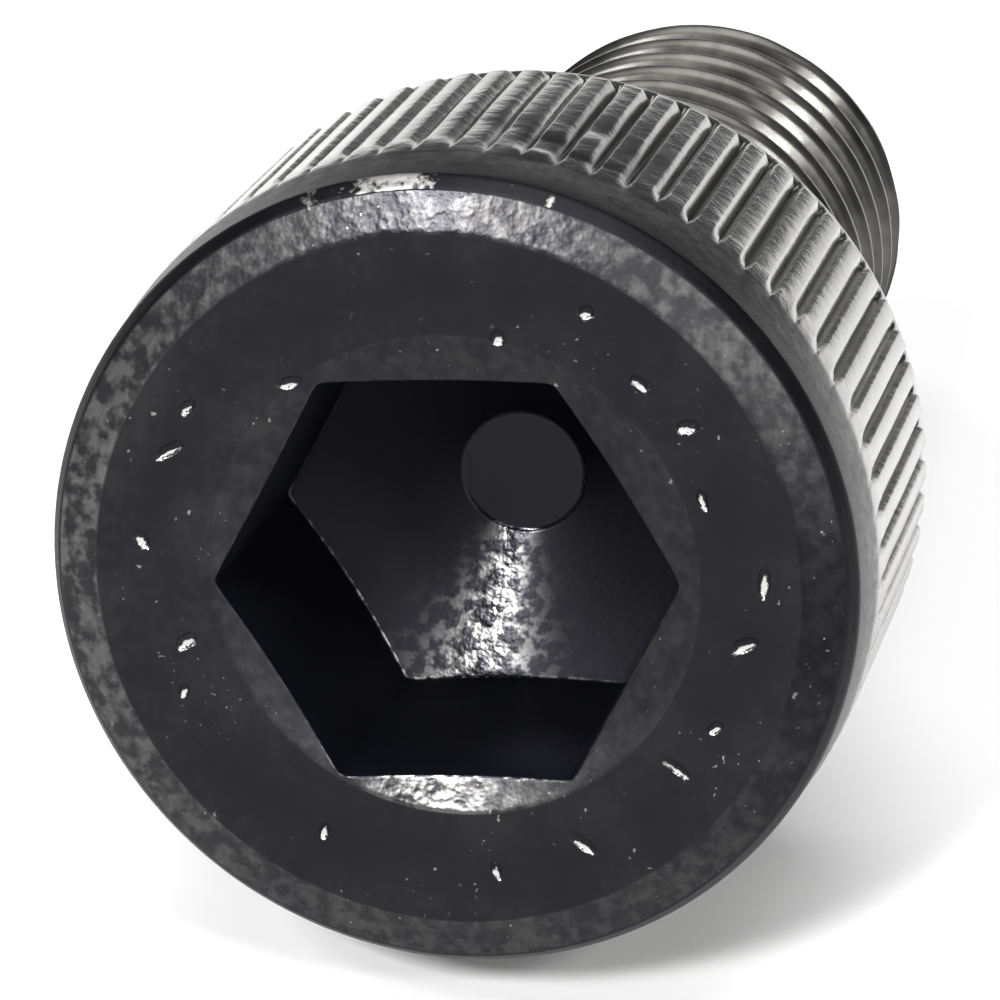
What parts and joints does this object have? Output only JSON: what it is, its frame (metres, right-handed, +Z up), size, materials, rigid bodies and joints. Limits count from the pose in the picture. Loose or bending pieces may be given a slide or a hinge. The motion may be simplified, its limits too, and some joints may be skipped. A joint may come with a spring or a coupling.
{
  "type": "socket head cap screw",
  "caption": "Socket head cap screw of black oxide steel with a straight-knurled cylindrical head, a hexagon socket and a fully threaded shank, lying on its side.",
  "frame": {"origin": "under the middle of the screw's box, on the surface that it lies on", "axes": "+Z up; +Y from the head towards the tip, the screw's axis being 9.3 degrees tip-down in the YZ plane; +X to the right for someone who looks at the socket"},
  "size_m": [0.0164, 0.0314, 0.0174],
  "materials": {
    "black_oxide_steel": "black oxide, satin, bright on worn edges"
  },
  "bodies": {
    "root": {"cap_screw": "black_oxide_steel"}
  },
  "joints": []
}
